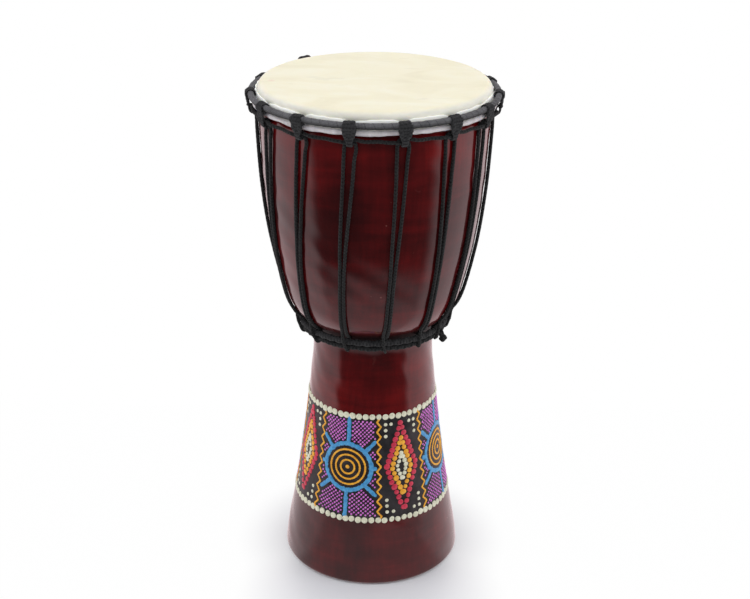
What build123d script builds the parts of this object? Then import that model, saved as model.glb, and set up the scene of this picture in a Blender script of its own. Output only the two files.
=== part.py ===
from build123d import *
import os
import math

# Rope-tuned goblet drum: a carved shell, a hide head with its rings, and one lacing rope
# between the hitches on the crown ring and the ring at the waist.
# Millimetres, +Z up, origin at the centre of the foot's rest face.
# Angles are in degrees about Z, from -Y towards +X: they grow to the right, seen from outside.

os.makedirs("parts", exist_ok=True)

# ---------------------------------------------------------------- driving dimensions
clearance = 0.1           # general gap between separate pieces

# outer surface of the shell, upwards: (z, radius)
foot_profile = [
    (3.0, 71.8), (16.0, 70.4), (32.0, 67.6), (52.0, 64.0), (72.0, 60.6),
    (100.0, 56.5), (128.0, 53.1), (160.0, 49.7), (182.0, 47.6), (195.0, 47.0),
]
bowl_profile = [
    (195.0, 47.0), (200.0, 47.5), (206.0, 49.6), (211.0, 53.0), (215.0, 57.2),
    (220.5, 62.2), (232.0, 68.2), (248.0, 72.7), (264.0, 76.2), (280.0, 79.2),
    (304.0, 82.4), (328.0, 84.7), (352.0, 86.1), (372.0, 86.9), (384.0, 87.0),
    (394.3, 87.0),
]
# hollow, from the inner lip of the bearing edge down to the foot opening: (z, radius)
bowl_hollow = [
    (392.5, 78.2), (376.0, 77.8), (352.0, 76.9), (328.0, 75.0), (304.0, 72.2),
    (280.0, 68.2), (262.0, 63.6), (246.0, 57.4), (232.0, 48.6), (221.0, 39.4),
    (211.0, 32.6), (200.0, 30.0),
]
foot_hollow = [
    (176.0, 30.0), (158.0, 31.2), (132.0, 35.4), (100.0, 42.2), (68.0, 49.6),
    (36.0, 56.6), (12.0, 61.0), (2.0, 62.3),
]
foot_edge = 3.0           # rounding of the outer bottom edge
foot_bevel = 1.6          # radial width of the bevel at the foot opening
edge_round = 5.0          # rounding of the bearing edge
edge_land = 81.0          # inner radius of the flat on the bearing edge

# head: skin, flesh hoop and crown ring
skin_t = 0.6
hoop_wire = 3.2           # flesh hoop rod diameter
hoop_z = 386.0
lip_z = 394.6             # top of the trimmed edge of the skin
crown_r = 92.4            # crown ring centreline radius
crown_z = 391.5
crown_wire = 3.9          # crown ring rod diameter
wrap_t = 0.5              # thickness of the tape round the crown ring
seam = 0.3                # open seam of the tape, on the underside

# hitches on the crown ring
turn_gap = 0.3            # between the tape and the turns
turn_t = 0.95             # thickness at the crest of a turn
turn_w = 3.8              # width of a turn along the ring
turn_dip = 0.5            # depth of the valley between turns
eye_in, eye_out = 88.28, 92.7          # clear inside of the eye, radially
eye_low, eye_high = 375.6, 382.4       # and in height
eye_t, eye_w = 1.15, 5.8
leg_top_w, leg_low_w = 11.0, 5.4       # width of the gathered legs at either end

# lower ring, its lashing and the knot: centreline radius, height, diameter
low_r, low_z, low_d = 57.5, 207.8, 4.4
lash_r, lash_z, lash_d = 56.3, 203.8, 3.0
knot_r, knot_z, knot_d = 61.2, 200.4, 6.8
tail_angle = 64.0         # where the two ends of the lashing leave to the knot
tail_half = 3.4           # half of the gap in the lashing, degrees
lash_end_gap = 0.15       # between a lashing end and its prong of the tail, degrees

# lacing: one entry per hitch in each table of angles
rope_d = 2.8
hitch_angles = [-59.8, -35.2, -10.8, 13.2, 37.3, 60.8, 84.8, 108.0, 131.0, 153.6,
                176.2, 197.4, 217.0, 249.2, 275.6]      # at the crown ring
pair_angles = [-72.0, -48.6, -20.3, 8.7, 37.0, 57.0, 81.0, 105.0, 129.0, 152.6,
               176.0, 199.0, 221.0, 243.6, 265.4]       # where each pair meets the lower ring
cut_hitch = 5             # the rope starts and ends at the lower ring under this hitch
strand_gap = 10.6         # between the two strands of a pair, below the hitch
gather_low, gather_high = 272.0, 372.0  # the strands of a pair close up between these heights
cord_z = 380.0            # height of the horizontal runs
cord_r = 90.2             # radius at the middle of a horizontal run
top_run, low_run = 380.75, 377.35       # heights of the two passes through the eye
descent = [368, 352, 336, 320, 304, 290, 277, 265, 254, 245, 237, 230.5, 225]
ascent = [220.5] + descent[::-1]        # heights where the strands are placed on the bowl
rope_lengths = 5          # the rope is lofted in lengths that join end to end

hitch_count = len(hitch_angles)
rope_r = rope_d / 2
diagonal = math.sin(math.radians(45))


# ---------------------------------------------------------------- smooth profiles
def profile_slopes(points):
    """Slopes of a smooth curve through (z, r) points that doesn't overshoot."""
    steps = [b[0] - a[0] for a, b in zip(points[:-1], points[1:])]
    chords = [(b[1] - a[1]) / step for a, b, step in zip(points[:-1], points[1:], steps)]
    slopes = [chords[0]]
    for i in range(1, len(points) - 1):
        if chords[i - 1] * chords[i] <= 0:
            slopes.append(0.0)
        else:
            before = 2 * steps[i] + steps[i - 1]
            after = steps[i] + 2 * steps[i - 1]
            slopes.append((before + after) / (before / chords[i - 1] + after / chords[i]))
    slopes.append(chords[-1])
    return slopes


def curve_at(points, slopes, z):
    """Radius and its slope at height z."""
    i = 0
    while i < len(points) - 2 and z > points[i + 1][0]:
        i += 1
    (z0, r0), (z1, r1) = points[i], points[i + 1]
    span = z1 - z0
    t = (z - z0) / span
    radius = ((1 + 2 * t) * (1 - t) ** 2 * r0 + t * (1 - t) ** 2 * span * slopes[i]
              + t * t * (3 - 2 * t) * r1 + t * t * (t - 1) * span * slopes[i + 1])
    slope = ((6 * t * t - 6 * t) * r0 / span + (3 * t * t - 4 * t + 1) * slopes[i]
             + (6 * t - 6 * t * t) * r1 / span + (3 * t * t - 2 * t) * slopes[i + 1])
    return radius, slope


def sampled(points, step):
    """Points (r, z), upwards, about step apart along the smooth curve through points."""
    upward = points if points[0][0] < points[-1][0] else points[::-1]
    slopes = profile_slopes(upward)
    z0, z1 = upward[0][0], upward[-1][0]
    count = max(2, round((z1 - z0) / step))
    heights = [z0 + (z1 - z0) * i / count for i in range(count + 1)]
    return [(curve_at(upward, slopes, z)[0], z) for z in heights]


bowl_slopes = profile_slopes(bowl_profile)


def on_bowl(z, lift):
    """(r, z) of a point lifted off the bowl at height z, square to its surface."""
    radius, slope = curve_at(bowl_profile, bowl_slopes, z)
    norm = math.hypot(1.0, slope)
    return radius + lift / norm, z - lift * slope / norm


# ---------------------------------------------------------------- paths in space
def polar_point(radius, z, angle):
    a = math.radians(angle)
    return (radius * math.sin(a), -radius * math.cos(a), z)


def tangent(angle):
    """Level direction along a ring, towards growing angles."""
    a = math.radians(angle)
    return (math.cos(a), math.sin(a), 0)


def unit(vector):
    length = math.hypot(*vector)
    return tuple(c / length for c in vector)


def smooth_path(points, start_dir, end_dir, max_turn):
    """(point, direction) rows along a smooth curve through points, split so that the
    bend of each span is shared in steps of at most max_turn radians."""
    count = len(points)
    gaps = [math.dist(a, b) for a, b in zip(points[:-1], points[1:])]
    dirs = [unit(start_dir)]
    for i in range(1, count - 1):
        a, b = gaps[i - 1], gaps[i]
        prev, here, following = points[i - 1:i + 2]
        dirs.append(unit(tuple(
            (b / a * (here[k] - prev[k]) + a / b * (following[k] - here[k])) / (a + b)
            for k in range(3))))
    dirs.append(unit(end_dir))

    rows = []
    for i in range(count - 1):
        gap = gaps[i]
        ends = (points[i], dirs[i], points[i + 1], dirs[i + 1])
        cosine = sum(a * b for a, b in zip(dirs[i], dirs[i + 1]))
        bend = math.acos(max(-1.0, min(1.0, cosine)))
        steps = max(1, math.ceil(bend / max_turn))
        # only the last span includes its end point
        for j in range(steps + (i == count - 2)):
            t = j / steps
            place = (2 * t ** 3 - 3 * t * t + 1, (t ** 3 - 2 * t * t + t) * gap,
                     3 * t * t - 2 * t ** 3, (t ** 3 - t * t) * gap)
            rate = (6 * t * t - 6 * t, (3 * t * t - 4 * t + 1) * gap,
                    6 * t - 6 * t * t, (3 * t * t - 2 * t) * gap)
            point, direction = (
                tuple(sum(w * end[k] for w, end in zip(weights, ends)) for k in range(3))
                for weights in (place, rate))
            rows.append((point, unit(direction)))
    return rows


def cross_planes(rows):
    """Planes across a path that don't twist from one to the next."""
    first = rows[0][1]
    x_dir = Vector(0, 0, 1) - Vector(*first) * first[2]
    planes = []
    for point, direction in rows:
        normal = Vector(*direction)
        x_dir = (x_dir - normal * x_dir.dot(normal)).normalized()
        planes.append(Plane(origin=point, x_dir=x_dir, z_dir=normal))
    return planes


def save(part, name):
    part.label = name
    export_step(part, f"parts/{name}.step")


# ---------------------------------------------------------------- shell
foot_r = foot_profile[0][1]
rim_z, rim_r = bowl_profile[-1]
round_r = rim_r - edge_round           # centre of the bearing edge's rounding, at rim_z


def make_shell():
    corner_r = foot_r - foot_edge
    edge_top = rim_z + edge_round
    opening_z, opening_r = foot_hollow[-1]
    with BuildPart() as shell:
        with BuildSketch(Plane.XZ):
            with BuildLine():
                Line((opening_r + foot_bevel, 0), (corner_r, 0))
                ThreePointArc((corner_r, 0),
                              (corner_r + foot_edge * diagonal, foot_edge - foot_edge * diagonal),
                              (foot_r, foot_edge))
                Spline(*sampled(foot_profile, 6.0))
                Spline(*sampled(bowl_profile, 3.5))
                ThreePointArc((rim_r, rim_z),
                              (round_r + edge_round * diagonal, rim_z + edge_round * diagonal),
                              (round_r, edge_top))
                Line((round_r, edge_top), (edge_land, edge_top))
                Line((edge_land, edge_top), bowl_hollow[0][::-1])
                Spline(*sampled(bowl_hollow, 8.0)[::-1])
                Line(bowl_hollow[-1][::-1], foot_hollow[0][::-1])
                Spline(*sampled(foot_hollow, 10.0)[::-1])
                Line((opening_r, opening_z), (opening_r + foot_bevel, 0))
            make_face()
        revolve(axis=Axis.Z)
    return shell.part


# ---------------------------------------------------------------- head skin
# One thin hide: flat over the drum, rounded over the bearing edge, down the outside of the
# shell, round the flesh hoop and up again to a trimmed edge inside the crown ring.
# These sizes are of its middle surface.
leg_in = rim_r + clearance + skin_t / 2        # radius of the run that goes down
leg_out = leg_in + skin_t + clearance          # radius of the run that comes back up
fold_rad = hoop_wire / 2 + clearance + skin_t / 2
hoop_r = leg_in + fold_rad
turn_rad = hoop_r - leg_out                    # bend from the fold into the upward run
over_rad = edge_round + clearance + skin_t / 2


def skin_side(offset):
    """One side of the hide's outline, offset to the right of its path from the axis."""
    over = over_rad - offset
    Line((0, rim_z + over), (round_r, rim_z + over))
    ThreePointArc((round_r, rim_z + over),
                  (round_r + over * diagonal, rim_z + over * diagonal),
                  (round_r + over, rim_z))
    Line((round_r + over, rim_z), (leg_in - offset, hoop_z))
    fold = fold_rad + offset
    ThreePointArc((hoop_r - fold, hoop_z), (hoop_r, hoop_z - fold), (hoop_r + fold, hoop_z))
    ThreePointArc((hoop_r + fold, hoop_z),
                  (hoop_r + fold * diagonal, hoop_z + fold * diagonal),
                  (hoop_r, hoop_z + fold))
    turn = turn_rad - offset
    turn_z = hoop_z + fold_rad + turn_rad
    ThreePointArc((hoop_r, turn_z - turn),
                  (hoop_r - turn * diagonal, turn_z - turn * diagonal),
                  (hoop_r - turn, turn_z))
    Line((hoop_r - turn, turn_z), (leg_out + offset, lip_z))


def make_head_skin():
    half = skin_t / 2
    with BuildPart() as head_skin:
        with BuildSketch(Plane.XZ):
            with BuildLine():
                skin_side(half)
                Line((leg_out + half, lip_z), (leg_out - half, lip_z))
                skin_side(-half)
                Line((0, rim_z + over_rad - half), (0, rim_z + over_rad + half))
            make_face()
        revolve(axis=Axis.Z)
    return head_skin.part


# ---------------------------------------------------------------- rings
def make_ring(radius, z, rod_d):
    with BuildPart() as ring:
        with BuildSketch(Plane.XZ):
            with Locations((radius, z)):
                Circle(rod_d / 2)
        revolve(axis=Axis.Z)
    return ring.part


wrap_in = crown_wire / 2 + clearance
wrap_out = wrap_in + wrap_t


def make_crown_wrap():
    """Tape round the crown ring, slit along its underside."""
    with BuildPart() as wrap:
        with BuildSketch(Plane.XZ):
            with Locations((crown_r, crown_z)):
                Circle(wrap_out)
                Circle(wrap_in, mode=Mode.SUBTRACT)
            with Locations((crown_r, crown_z - (wrap_in + wrap_out) / 2)):
                Rectangle(seam, wrap_t * 2.4, mode=Mode.SUBTRACT)
        revolve(axis=Axis.Z)
    return wrap.part


# ---------------------------------------------------------------- hitches on the crown ring
def make_hitch():
    """Three turns of cord round the crown ring, gathered outside the flesh hoop into an
    eye that the lacing runs through. Built at angle 0, towards -Y."""
    turn_in = wrap_out + turn_gap
    crest = turn_in + turn_t
    valley = crest - turn_dip
    end = 1.5 * turn_w
    ring_centre = (0, -crown_r, crown_z)
    leg_top_r = crown_r + turn_in + turn_t / 2 - 0.05
    with BuildPart() as hitch:
        # turns, as one scalloped spool about the ring's centreline
        with BuildSketch(Plane(origin=ring_centre, x_dir=(1, 0, 0), z_dir=(0, -1, 0))):
            with BuildLine():
                for k in (-1, 0, 1):
                    ThreePointArc(((k - 0.5) * turn_w, valley), (k * turn_w, crest),
                                  ((k + 0.5) * turn_w, valley))
                Line((end, valley), (end, turn_in))
                Line((end, turn_in), (-end, turn_in))
                Line((-end, turn_in), (-end, valley))
            make_face()
        revolve(axis=Axis(ring_centre, (1, 0, 0)))
        # legs, from the outer side of the turns down to the eye
        with BuildSketch(Plane(origin=(0, -leg_top_r, crown_z - 0.4))):
            RectangleRounded(leg_top_w, turn_t - 0.15, 0.3)
        with BuildSketch(Plane(origin=(0, -(eye_out + eye_t / 2), eye_high - 0.9))):
            RectangleRounded(leg_low_w, eye_t - 0.1, 0.4)
        loft(ruled=True)
        # the eye
        with BuildSketch(Plane(origin=(0, -(eye_in + eye_out) / 2, (eye_low + eye_high) / 2),
                               x_dir=(0, -1, 0), z_dir=(1, 0, 0))):
            RectangleRounded(eye_out - eye_in + 2 * eye_t, eye_high - eye_low + 2 * eye_t, 1.9)
            RectangleRounded(eye_out - eye_in, eye_high - eye_low, 0.8, mode=Mode.SUBTRACT)
        extrude(amount=eye_w / 2, both=True)
    return hitch.part


def place_hitch(hitch, angle):
    with BuildPart() as top_loop:
        with Locations(Rotation(0, 0, angle)):
            add(hitch)
    return top_loop.part


# ---------------------------------------------------------------- lashing and its knot
def make_lashing():
    """Cord under the lower ring, open where its two ends leave to the knot."""
    half_gap = tail_half + lash_end_gap
    start = tail_angle + half_gap
    with BuildPart() as lashing:
        with BuildSketch(Plane(origin=polar_point(lash_r, lash_z, start),
                               x_dir=(0, 0, 1), z_dir=tangent(start))):
            Circle(lash_d / 2)
        revolve(axis=Axis.Z, revolution_arc=360 - 2 * half_gap)
    return lashing.part


def tail_point(aside, radius, z):
    """A point at the tail: aside along the ring, radius outwards, height z."""
    outward = polar_point(1, 0, tail_angle)
    sideways = tangent(tail_angle)
    return tuple(outward[k] * radius + sideways[k] * aside + (z if k == 2 else 0)
                 for k in range(3))


def make_tail_knot():
    """The two ends of the lashing turn outwards and meet in a round knot."""
    half = lash_r * math.sin(math.radians(tail_half))
    with BuildPart() as tail_knot:
        for side in (-1, 1):
            prong = smooth_path(
                [tail_point(side * half, lash_r, lash_z),
                 tail_point(side * half * 0.55, lash_r + 0.2, lash_z - 0.12),
                 tail_point(side * half * 0.26, lash_r + 1.7, lash_z - 1.2),
                 tail_point(side * 0.3, knot_r, knot_z)],
                start_dir=tuple(-side * c for c in tangent(tail_angle)),
                end_dir=tail_point(-0.1 * side, 1, -0.7),
                max_turn=0.4)
            for plane in cross_planes(prong):
                with BuildSketch(plane):
                    Circle(rope_r - 0.2)
            loft(ruled=True)
        with Locations(tail_point(0, knot_r, knot_z)):
            Sphere(knot_d / 2)
    return tail_knot.part


# ---------------------------------------------------------------- lacing
# One rope: it runs level between the hitches, through each eye and down to the lower ring
# on the left of the hitch, round the ring and the lashing, and up again on the right.
# It works its way round to the left, seen from outside.
lift = rope_r + 0.22                           # of the rope's middle off the wood
inner_run_r = on_bowl(376.0, lift)[0]
outer_run_r = inner_run_r + rope_d + 0.15
strand_half = strand_gap / 2
close_half = rope_r + 0.08                     # half spacing of the strands low down
ring_wrap = low_d / 2 + rope_r + 0.2           # rope's middle round the ring's section
lash_wrap = lash_d / 2 + rope_r + 0.22         # and round the lashing's section

# Both passes: (radius, z, distance to the right of the hitch, radius that turns this
# distance into an angle)
# into the eye from the right, above, and out to the left strand
pass_in = [
    (outer_run_r + 0.1, cord_z + 0.5, 8.4, outer_run_r),
    (outer_run_r, top_run - 0.05, 5.6, outer_run_r),
    (90.6, top_run + 0.05, 2.6, 90),
    (90.0, top_run + 0.05, -0.6, 90),
    (89.75, top_run - 0.2, -3.0, 89),
    (89.0, top_run - 1.6, -4.7, 89),
    (inner_run_r, top_run - 3.8, -strand_half, inner_run_r),
]
# from the right strand through the eye, below the other pass, and out to the left
pass_out = [
    (inner_run_r, 373.4, strand_half, inner_run_r),
    (89.0, 375.9, 4.9, 89),
    (89.8, low_run - 0.1, 3.2, 90),
    (90.3, low_run, 0.6, 90),
    (91.1, low_run, -2.4, 90),
    (91.7, low_run + 0.1, -4.6, outer_run_r),
    (outer_run_r + 0.45, low_run + 0.7, -7.0, outer_run_r),
    (outer_run_r, cord_z - 0.9, -10.0, outer_run_r),
]


def hitch_pass(table, hitch_angle):
    return [polar_point(radius, z, hitch_angle + math.degrees(right / angle_r))
            for radius, z, right, angle_r in table]


def strand(heights, side, hitch_angle, pair_angle):
    """One strand of a pair on the bowl; side is -1 for the left and 1 for the right."""
    points = []
    for z in heights:
        radius, lifted_z = on_bowl(z, lift)
        rise = (z - low_z) / (cord_z - low_z)
        middle = pair_angle + (hitch_angle - pair_angle) * rise
        spread = min(1.0, max(0.0, (z - gather_low) / (gather_high - gather_low)))
        half = close_half + (strand_half - close_half) * spread
        points.append(polar_point(radius, lifted_z, middle + side * math.degrees(half / radius)))
    return points


def around_ring(section_angle, angle):
    """A point of the rope round the lower ring's section; 0 is its outer side."""
    b = math.radians(section_angle)
    return polar_point(low_r + ring_wrap * math.cos(b), low_z + ring_wrap * math.sin(b), angle)


def around_lashing(section_angle, angle):
    b = math.radians(section_angle)
    return polar_point(lash_r + lash_wrap * math.cos(b), lash_z + lash_wrap * math.sin(b), angle)


def wrap_down(pair_angle):
    """Down the outer side of the ring and the lashing, and under."""
    aside = math.degrees(close_half / 60.0)
    return [polar_point(64.1, 218.6, pair_angle - aside),
            around_ring(16, pair_angle - aside),
            around_ring(-14, pair_angle - aside),
            around_lashing(-8, pair_angle - aside),
            around_lashing(-45, pair_angle - aside * 0.7),
            around_lashing(-85, pair_angle - aside * 0.1)]


def wrap_up(pair_angle):
    """Up the inner side of the lashing and the ring, and onto the bowl."""
    aside = math.degrees(close_half / 55.0)
    return [around_lashing(-128, pair_angle + aside * 0.6),
            around_lashing(-172, pair_angle + aside * 0.95),
            around_ring(182, pair_angle + aside),
            around_ring(152, pair_angle + aside),
            polar_point(*on_bowl(214.0, lift), pair_angle + aside),
            polar_point(*on_bowl(217.4, lift), pair_angle + aside)]


def mid_span(i):
    """Middle of the horizontal run to the right of hitch i, with its leftward direction."""
    following = hitch_angles[(i + 1) % hitch_count] + (360 if i == hitch_count - 1 else 0)
    middle = (hitch_angles[i] + following) / 2
    return polar_point(cord_r, cord_z, middle), tuple(-c for c in tangent(middle))


def rope_path():
    """(point, direction) rows of the whole rope, hitch by hitch. The cut hitch comes
    twice: first only its way up, last only its way down."""
    rows = []
    for n in range(hitch_count + 1):
        i = (cut_hitch - n) % hitch_count
        hitch_angle, pair_angle = hitch_angles[i], pair_angles[i]
        start, start_dir = mid_span(i)
        end, end_dir = mid_span((i - 1) % hitch_count)
        down = (hitch_pass(pass_in, hitch_angle)
                + strand(descent, -1, hitch_angle, pair_angle) + wrap_down(pair_angle))
        up = (wrap_up(pair_angle) + strand(ascent, 1, hitch_angle, pair_angle)
              + hitch_pass(pass_out, hitch_angle))
        if n == 0:
            points = up[1:] + [end]
            start_dir = tuple(b - a for a, b in zip(points[0], points[1]))
        elif n == hitch_count:
            points = [start] + down
            end_dir = tuple(b - a for a, b in zip(points[-2], points[-1]))
        else:
            points = [start] + down + up + [end]
        piece = smooth_path(points, start_dir, end_dir, max_turn=0.45)
        # a later piece starts on the last point of the one before
        rows += piece[1:] if rows else piece
    return rows


def make_lacing():
    planes = cross_planes(rope_path())
    last = len(planes) - 1
    with BuildPart() as lacing_rope:
        for n in range(rope_lengths):
            first_plane = round(n * last / rope_lengths)
            last_plane = round((n + 1) * last / rope_lengths)
            for plane in planes[first_plane:last_plane + 1]:
                with BuildSketch(plane):
                    Circle(rope_r)
            loft(ruled=True)
    return lacing_rope.part


# ---------------------------------------------------------------- pieces
save(make_shell(), "shell")
save(make_head_skin(), "head_skin")
save(make_ring(hoop_r, hoop_z, hoop_wire), "flesh_hoop")
save(make_ring(crown_r, crown_z, crown_wire), "crown_ring")
save(make_crown_wrap(), "crown_ring_wrap")

hitch_part = make_hitch()
for number, angle in enumerate(hitch_angles, start=1):
    save(place_hitch(hitch_part, angle), f"top_loop_{number:02d}")

save(make_ring(low_r, low_z, low_d), "bottom_ring")
save(make_lashing(), "bottom_lashing")
save(make_tail_knot(), "tail_knot")
save(make_lacing(), "lacing_rope")
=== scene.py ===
"""A goblet drum with a rope-laced skin head.

It stands on its foot at the origin, axis along +Z, with the head 400 mm up. Geometry is worked
out in millimetres and turned to metres as each mesh is made; shaders and staging use metres.
Angles round the drum are degrees from the front (-Y), growing towards the right (+X).
"""
import math

import bpy
import numpy as np
from mathutils import Matrix, Vector


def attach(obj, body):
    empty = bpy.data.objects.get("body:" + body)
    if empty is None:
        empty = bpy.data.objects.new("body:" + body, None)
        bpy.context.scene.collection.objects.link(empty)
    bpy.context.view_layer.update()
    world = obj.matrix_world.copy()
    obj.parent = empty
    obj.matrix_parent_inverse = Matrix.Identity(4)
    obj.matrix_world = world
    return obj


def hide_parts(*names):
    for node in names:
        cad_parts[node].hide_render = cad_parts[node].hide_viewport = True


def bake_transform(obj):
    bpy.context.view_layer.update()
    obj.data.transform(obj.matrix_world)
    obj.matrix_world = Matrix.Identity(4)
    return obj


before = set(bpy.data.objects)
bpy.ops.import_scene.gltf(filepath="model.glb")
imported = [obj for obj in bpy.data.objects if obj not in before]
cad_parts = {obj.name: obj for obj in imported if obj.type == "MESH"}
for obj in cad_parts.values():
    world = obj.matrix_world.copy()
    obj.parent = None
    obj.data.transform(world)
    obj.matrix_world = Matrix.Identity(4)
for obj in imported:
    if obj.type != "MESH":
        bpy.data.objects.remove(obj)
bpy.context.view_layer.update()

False  # the build is the same either way
rng = np.random.default_rng(11)

# ------------------------------------------------------------------ shared sizes, mm
# (z, radius) stations
FOOT_OUTLINE = [
    (3.0, 71.8), (16.0, 70.4), (32.0, 67.6), (52.0, 64.0), (72.0, 60.6),
    (100.0, 56.5), (128.0, 53.1), (160.0, 49.7), (182.0, 47.6), (195.0, 47.0)]
BOWL_OUTLINE = [
    (195.0, 47.0), (200.0, 47.5), (206.0, 49.6), (211.0, 53.0), (215.0, 57.2), (220.5, 62.2),
    (232.0, 68.2), (248.0, 72.7), (264.0, 76.2), (280.0, 79.2), (304.0, 82.4), (328.0, 84.7),
    (352.0, 86.1), (372.0, 86.9), (384.0, 87.0), (394.3, 87.0)]
BOWL_HOLLOW = [
    (392.5, 78.2), (376.0, 77.8), (352.0, 76.9), (328.0, 75.0), (304.0, 72.2), (280.0, 68.2),
    (262.0, 63.6), (246.0, 57.4), (232.0, 48.6), (221.0, 39.4), (211.0, 32.6), (200.0, 30.0)]
FOOT_HOLLOW = [
    (176.0, 30.0), (158.0, 31.2), (132.0, 35.4), (100.0, 42.2), (68.0, 49.6), (36.0, 56.6),
    (12.0, 61.0), (2.0, 62.3)]

# the rounded rim of the bowl: its section is an arc about (RIM_R, RIM_Z)
RIM_ROUND = 5.0
RIM_Z, RIM_R = BOWL_OUTLINE[-1][0], BOWL_OUTLINE[-1][1] - RIM_ROUND
HEAD_Z = 400.0

CROWN_R, CROWN_Z = 92.4, 391.5      # crown ring, taped
TAPE_RAD, TAPE_PITCH = 2.55, 6.3    # section radius over the tape, and one turn of the tape
HOOP_R, HOOP_Z = 89.4, 386.0        # flesh hoop, inside the fold of skin
ROPE_RAD = 1.4
LACING_Z = 380.0                    # where the lacing runs from hitch to hitch

# lower ring and lashing under it: radius round the drum, height, section radius
LOW_RING_R, LOW_RING_Z, LOW_RING_RAD = 57.7, 210.0, 2.65
LASH_R, LASH_Z, LASH_RAD = 56.3, 205.0, 2.25

BAND_TOP, BAND_LOW = 142.8, 55.6    # edges of the painted band on the foot
BAND_MID = 0.5 * (BAND_TOP + BAND_LOW)
BAND_HALF = 0.5 * (BAND_TOP - BAND_LOW)

# degrees: each hitch on the crown ring, and the pair of strands it sends to the lower ring
HITCH_ANGLES = [
    -59.8, -35.2, -10.8, 13.2, 37.3, 60.8, 84.8, 108.0, 131.0, 153.6,
    176.2, 197.4, 217.0, 249.2, 275.6]
PAIR_ANGLES = [
    -72.0, -48.6, -20.3, 8.7, 37.0, 57.0, 81.0, 105.0, 129.0, 152.6,
    176.0, 199.0, 221.0, 243.6, 265.4]
HITCH_COUNT = len(HITCH_ANGLES)

UP = np.array([0.0, 0.0, 1.0])


# ------------------------------------------------------------------ curves
def clamp(value):
    return max(0.0, min(1.0, value))


def unit(vector):
    return vector / np.linalg.norm(vector)


def polar(radius, z, degrees):
    angle = math.radians(degrees)
    return (radius * math.sin(angle), -radius * math.cos(angle), z)


def arc(centre_r, centre_z, radius, start, end, count):
    """(r, z) points on an arc, from start to end in degrees: 0 outward, 90 up."""
    return [(centre_r + radius * math.cos(angle), centre_z + radius * math.sin(angle))
            for angle in np.linspace(math.radians(start), math.radians(end), count)]


def hermite(t, span):
    """Weights of (near end, its slope, far end, its slope) for the value and the gradient."""
    value = (2 * t ** 3 - 3 * t * t + 1, (t ** 3 - 2 * t * t + t) * span,
             3 * t * t - 2 * t ** 3, (t ** 3 - t * t) * span)
    gradient = (6 * t * t - 6 * t, (3 * t * t - 4 * t + 1) * span,
                6 * t - 6 * t * t, (3 * t * t - 2 * t) * span)
    return value, gradient


def weighted(weights, parts):
    return sum(weight * part for weight, part in zip(weights, parts))


class Profile:
    """A smooth curve through (z, radius) stations that never overshoots them."""

    def __init__(self, stations):
        self.stations = sorted(stations)
        pairs = list(zip(self.stations[:-1], self.stations[1:]))
        gaps = [high[0] - low[0] for low, high in pairs]
        rises = [(high[1] - low[1]) / gap for (low, high), gap in zip(pairs, gaps)]
        self.slopes = [rises[0]]
        for i in range(1, len(rises)):
            below, above = rises[i - 1], rises[i]
            if below * above <= 0:
                self.slopes.append(0.0)
                continue
            weight_below = 2 * gaps[i] + gaps[i - 1]
            weight_above = gaps[i] + 2 * gaps[i - 1]
            self.slopes.append((weight_below + weight_above)
                               / (weight_below / below + weight_above / above))
        self.slopes.append(rises[-1])

    def measure(self, z):
        """Radius, and its slope against height."""
        i = 0
        while i < len(self.stations) - 2 and z > self.stations[i + 1][0]:
            i += 1
        (z_low, r_low), (z_high, r_high) = self.stations[i:i + 2]
        span = z_high - z_low
        value, gradient = hermite((z - z_low) / span, span)
        parts = (r_low, self.slopes[i], r_high, self.slopes[i + 1])
        return weighted(value, parts), weighted(gradient, parts) / span

    def sampled(self, step):
        """Rising (radius, z) points about step apart."""
        bottom, top = self.stations[0][0], self.stations[-1][0]
        count = max(2, round((top - bottom) / step))
        heights = [bottom + (top - bottom) * i / count for i in range(count + 1)]
        return [(self.measure(z)[0], z) for z in heights]


foot = Profile(FOOT_OUTLINE)
bowl = Profile(BOWL_OUTLINE)


def smooth(points, start=None, end=None, turn=0.2, longest=1e9):
    """(point, direction) rows along a smooth curve through points.

    start and end are directions; turn (radians) and longest (mm) limit each step.
    """
    points = np.array(points, float)
    gaps = [math.dist(near, far) for near, far in zip(points[:-1], points[1:])]
    directions = [unit(np.array(points[1] - points[0] if start is None else start))]
    for i in range(1, len(points) - 1):
        before, after = gaps[i - 1], gaps[i]
        directions.append(unit((after / before * (points[i] - points[i - 1])
                                + before / after * (points[i + 1] - points[i]))
                               / (before + after)))
    directions.append(unit(np.array(points[-1] - points[-2] if end is None else end)))
    rows = []
    for i, gap in enumerate(gaps):
        cosine = sum(near * far for near, far in zip(directions[i], directions[i + 1]))
        bend = math.acos(max(-1.0, min(1.0, cosine)))
        steps = max(1, math.ceil(bend / turn), math.ceil(gap / longest))
        parts = (points[i], directions[i], points[i + 1], directions[i + 1])
        for j in range(steps + (i == len(gaps) - 1)):
            value, gradient = hermite(j / steps, gap)
            rows.append((weighted(value, parts), unit(weighted(gradient, parts))))
    return rows


def waves(count, lowest, highest, seed):
    """Smooth random waves round the drum, as a function of angle in radians."""
    draw = np.random.default_rng(seed)
    cycles = draw.integers(lowest, highest, count)
    heights = draw.normal(size=count) / np.sqrt(count)
    phases = draw.uniform(0, 2 * np.pi, count)
    return lambda angle: np.sum(
        heights[:, None] * np.sin(cycles[:, None] * np.atleast_1d(angle)[None, :]
                                  + phases[:, None]), axis=0)


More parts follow.
